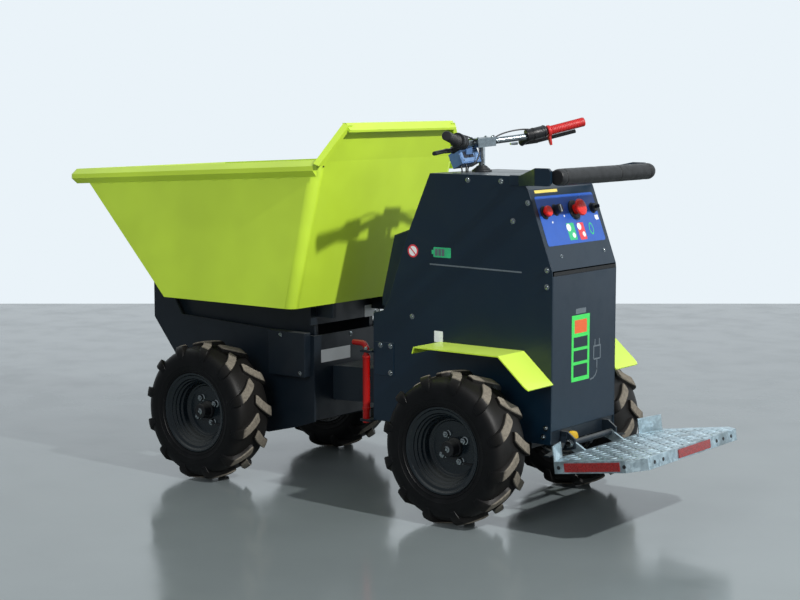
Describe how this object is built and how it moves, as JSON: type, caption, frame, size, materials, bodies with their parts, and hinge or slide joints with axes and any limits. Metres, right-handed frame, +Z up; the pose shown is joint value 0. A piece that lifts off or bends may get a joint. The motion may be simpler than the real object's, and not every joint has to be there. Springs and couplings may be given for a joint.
{
  "type": "site dumper",
  "caption": "Articulated electric site dumper: lime skip tipping forward, four lug-tyred wheels, battery console with handlebar, padded back bar and fold-up operator step.",
  "frame": {"origin": "on the ground, in the middle of the overall length and width", "axes": "+X the driving direction, skip end in front; +Y the left-hand side; +Z up"},
  "size_m": [2.4652, 0.901, 1.3135],
  "materials": {
    "tyre": "worn black rubber",
    "rim_steel": "satin dark grey paint",
    "hub_black": "black cast iron",
    "frame_paint": "satin anthracite paint",
    "console_paint": "satin blue-grey paint",
    "lime_paint": "gloss lime green paint",
    "pin_steel": "bright plated steel",
    "ram_paint": "black paint",
    "battery_case": "grey painted battery block",
    "red_paint": "gloss red paint",
    "black_plastic": "matt black plastic",
    "pad_cover": "black coated fabric",
    "red_plastic": "red plastic",
    "bar_chrome": "polished tube",
    "grip_red": "red rubber",
    "grip_black": "black rubber",
    "display_plastic": "blue plastic",
    "galvanised": "hot-dip galvanised steel",
    "yellow_buffer": "yellow elastomer"
  },
  "bodies": {
    "rear_chassis": {"rear_frame": "frame_paint", "rear_pins": "pin_steel", "side_panels": "console_paint", "console_cover": "console_paint", "front_cowl": "console_paint", "control_panel": "console_paint", "rear_cover": "console_paint", "battery_pack": "battery_case", "fenders": "lime_paint", "side_covers": "console_paint", "lock_bar": "red_paint", "pad_arms": "black_plastic", "back_pad": "pad_cover", "steering_boot": "black_plastic", "stop_knobs": "red_plastic", "rotary_switches": "black_plastic", "hinge_flares": "frame_paint", "step_buffer": "yellow_buffer", "rear_axle": "frame_paint"},
    "front_chassis": {"front_frame": "frame_paint", "side_boxes": "frame_paint", "front_pins": "pin_steel", "front_axle": "frame_paint"},
    "skip": {"skip_tub": "lime_paint", "skip_carrier": "frame_paint"},
    "tipping_ram_barrel": {"ram_barrel": "ram_paint"},
    "tipping_ram_rod": {"ram_rod": "pin_steel"},
    "handlebar": {"steering_column": "bar_chrome", "handlebar": "bar_chrome", "grip_left": "grip_black", "grip_right": "grip_red", "hand_levers": "black_plastic", "display_box": "display_plastic", "control_cables": "black_plastic"},
    "step": {"step_plate": "galvanised", "step_reflectors": "red_plastic"},
    "wheel_front_left": {"tyre_front_left": "tyre", "rim_front_left": "rim_steel", "hub_front_left": "hub_black"},
    "wheel_front_right": {"tyre_front_right": "tyre", "rim_front_right": "rim_steel", "hub_front_right": "hub_black"},
    "wheel_rear_left": {"tyre_rear_left": "tyre", "rim_rear_left": "rim_steel", "hub_rear_left": "hub_black"},
    "wheel_rear_right": {"tyre_rear_right": "tyre", "rim_rear_right": "rim_steel", "hub_rear_right": "hub_black"}
  },
  "joints": [
    {"name": "articulation", "type": "hinge", "parent": "rear_chassis", "child": "front_chassis", "pos_m": [0.00062, 0, 0.395], "axis": [0, 0, 1], "range_deg": [-32, 32]},
    {"name": "skip_tip", "type": "hinge", "parent": "front_chassis", "child": "skip", "pos_m": [0.95562, 0, 0.64], "axis": [0, 1, 0], "range_deg": [0, 80]},
    {"name": "ram_swing", "type": "hinge", "parent": "front_chassis", "child": "tipping_ram_barrel", "pos_m": [0.27062, 0, 0.32], "axis": [0, 1, 0], "range_deg": [-12.2, 0]},
    {"name": "ram_stroke", "type": "slide", "parent": "tipping_ram_barrel", "child": "tipping_ram_rod", "axis": [0.8476, 0, 0.5307], "range_m": [0, 0.3127]},
    {"name": "steering", "type": "hinge", "parent": "rear_chassis", "child": "handlebar", "pos_m": [-0.39638, 0, 1.2], "axis": [0, 0, 1], "range_deg": [-16, 44]},
    {"name": "step_fold", "type": "hinge", "parent": "rear_chassis", "child": "step", "pos_m": [-0.84638, 0, 0.262], "axis": [0, 1, 0], "range_deg": [0, 82]},
    {"name": "wheel_front_left_turn", "type": "hinge", "parent": "front_chassis", "child": "wheel_front_left", "pos_m": [0.56062, 0.363, 0.25], "axis": [0, 1, 0], "continuous": true},
    {"name": "wheel_front_right_turn", "type": "hinge", "parent": "front_chassis", "child": "wheel_front_right", "pos_m": [0.56062, -0.363, 0.25], "axis": [0, 1, 0], "continuous": true},
    {"name": "wheel_rear_left_turn", "type": "hinge", "parent": "rear_chassis", "child": "wheel_rear_left", "pos_m": [-0.54938, 0.363, 0.25], "axis": [0, 1, 0], "continuous": true},
    {"name": "wheel_rear_right_turn", "type": "hinge", "parent": "rear_chassis", "child": "wheel_rear_right", "pos_m": [-0.54938, -0.363, 0.25], "axis": [0, 1, 0], "continuous": true}
  ],
  "couplings": [
    {"joint": "ram_swing", "follows": "skip_tip", "ratio": -0.14625},
    {"joint": "ram_stroke", "follows": "skip_tip", "m_per_rad": 0.2225}
  ]
}
